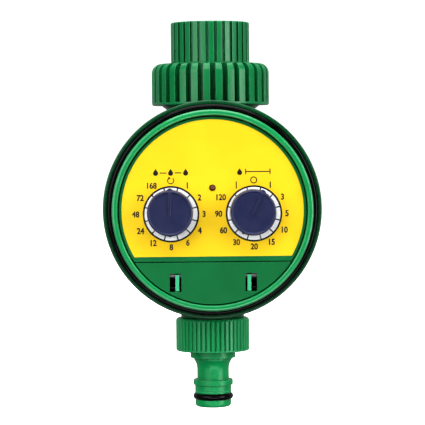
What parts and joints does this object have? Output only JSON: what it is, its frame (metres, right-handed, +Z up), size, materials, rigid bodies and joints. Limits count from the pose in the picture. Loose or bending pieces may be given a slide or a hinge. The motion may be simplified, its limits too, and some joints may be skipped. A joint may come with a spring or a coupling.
{
  "type": "drip irrigation timer",
  "caption": "Battery-powered tap timer with a round dial face, two rotary knobs, a motorised ball valve, a ribbed inlet nut and a quick-connect hose outlet.",
  "frame": {"origin": "centre of the inlet adapter's mouth, on the pipe axis", "axes": "+Z up along the pipe axis towards the tap, the dial face looks along -Y, +X to the right of a person reading the dials"},
  "size_m": [0.0946, 0.0843, 0.1728],
  "materials": {
    "housing_green": "moulded dark green plastic with a fine satin grain",
    "ring_green": "glossy bright green moulded plastic",
    "panel_green": "satin mid green moulded plastic",
    "latch_green": "pale green moulded plastic",
    "nut_green": "semi-gloss green moulded plastic",
    "connector_green": "semi-gloss green moulded plastic",
    "label_film": "yellow printed film",
    "seal_rubber": "black lubricated rubber",
    "washer_rubber": "black rubber",
    "board_laminate": "green solder mask",
    "led_lens": "dark red tinted lens",
    "black_plastic": "black moulded plastic",
    "capacitor_sleeve": "blue shrink sleeve",
    "cell_jacket": "plain black jacket",
    "contact_nickel": "nickel plated spring steel",
    "bright_steel": "zinc plated steel",
    "natural_nylon": "natural white nylon",
    "brass": "machined brass",
    "ball_chrome": "polished ball",
    "knob_blue": "navy blue moulded plastic"
  },
  "bodies": {
    "housing": {"rear_housing": "housing_green", "front_housing": "housing_green", "valve_body": "housing_green", "outlet_pipe": "housing_green", "front_bezel": "ring_green", "control_panel": "panel_green", "face_label": "label_film", "face_seal": "seal_rubber", "housing_seal": "seal_rubber", "circuit_board": "board_laminate", "status_led": "led_lens", "frequency_switch": "black_plastic", "duration_switch": "black_plastic", "microcontroller": "black_plastic", "capacitor": "capacitor_sleeve", "battery_tray": "black_plastic", "battery_cells": "cell_jacket", "battery_contacts": "contact_nickel", "contact_springs": "contact_nickel", "gear_motor": "bright_steel", "gear_pins": "bright_steel", "limit_switch": "black_plastic", "inlet_washer": "washer_rubber", "retaining_ring": "natural_nylon", "ball_seats": "natural_nylon", "stem_seal": "seal_rubber", "case_screws": "bright_steel", "bezel_screws": "bright_steel", "board_screws": "bright_steel"},
    "inlet_nut": {"inlet_nut": "nut_green"},
    "inlet_adapter": {"inlet_adapter": "nut_green", "tap_washer": "washer_rubber", "filter_screen": "natural_nylon"},
    "outlet_connector": {"outlet_connector": "connector_green", "nipple_seal": "seal_rubber", "outlet_washer": "washer_rubber"},
    "frequency_knob": {"frequency_knob": "knob_blue", "frequency_spindle": "natural_nylon"},
    "duration_knob": {"duration_knob": "knob_blue", "duration_spindle": "natural_nylon"},
    "battery_door": {"battery_door": "panel_green"},
    "left_latch": {"left_latch": "latch_green"},
    "right_latch": {"right_latch": "latch_green"},
    "valve_rotor": {"valve_ball": "ball_chrome", "valve_stem": "brass", "output_gear": "natural_nylon"},
    "second_idler": {"second_idler": "natural_nylon"},
    "first_idler": {"first_idler": "natural_nylon"},
    "motor_pinion": {"motor_pinion": "brass"}
  },
  "joints": [
    {"name": "inlet_nut_turn", "type": "hinge", "parent": "housing", "child": "inlet_nut", "pos_m": [0, 0, -0.027], "axis": [0, 0, 1], "continuous": true},
    {"name": "inlet_adapter_turn", "type": "hinge", "parent": "inlet_nut", "child": "inlet_adapter", "pos_m": [0, 0, -0.01], "axis": [0, 0, 1], "continuous": true},
    {"name": "outlet_connector_turn", "type": "hinge", "parent": "housing", "child": "outlet_connector", "pos_m": [0, 0, -0.14], "axis": [0, 0, 1], "continuous": true},
    {"name": "frequency_knob_turn", "type": "hinge", "parent": "housing", "child": "frequency_knob", "pos_m": [-0.0182, -0.05, -0.0835], "axis": [0, 1, 0], "range_deg": [0, 330]},
    {"name": "duration_knob_turn", "type": "hinge", "parent": "housing", "child": "duration_knob", "pos_m": [0.0172, -0.05, -0.0835], "axis": [0, 1, 0], "range_deg": [-26, 304]},
    {"name": "battery_door_pull", "type": "slide", "parent": "housing", "child": "battery_door", "axis": [0, -1, 0], "range_m": [0, 0.025]},
    {"name": "left_latch_press", "type": "slide", "parent": "battery_door", "child": "left_latch", "axis": [1, 0, 0], "range_m": [0, 0.0005], "stiffness_N_per_m": 600},
    {"name": "right_latch_press", "type": "slide", "parent": "battery_door", "child": "right_latch", "axis": [-1, 0, 0], "range_m": [0, 0.0005], "stiffness_N_per_m": 600},
    {"name": "valve_turn", "type": "hinge", "parent": "housing", "child": "valve_rotor", "pos_m": [0, 0, -0.0827], "axis": [0, 1, 0], "range_deg": [0, 90]},
    {"name": "second_idler_turn", "type": "hinge", "parent": "housing", "child": "second_idler", "pos_m": [-0.024, 0, -0.0827], "axis": [0, 1, 0], "range_deg": [-365, 5]},
    {"name": "first_idler_turn", "type": "hinge", "parent": "housing", "child": "first_idler", "pos_m": [-0.00929, 0, -0.07036], "axis": [0, 1, 0], "range_deg": [-5, 1085]},
    {"name": "motor_pinion_turn", "type": "hinge", "parent": "housing", "child": "motor_pinion", "pos_m": [0.00031, 0, -0.05373], "axis": [0, 1, 0], "range_deg": [-3245, 5]}
  ],
  "couplings": [
    {"joint": "second_idler_turn", "follows": "valve_turn", "ratio": -4},
    {"joint": "first_idler_turn", "follows": "valve_turn", "ratio": 12},
    {"joint": "motor_pinion_turn", "follows": "valve_turn", "ratio": -36}
  ]
}
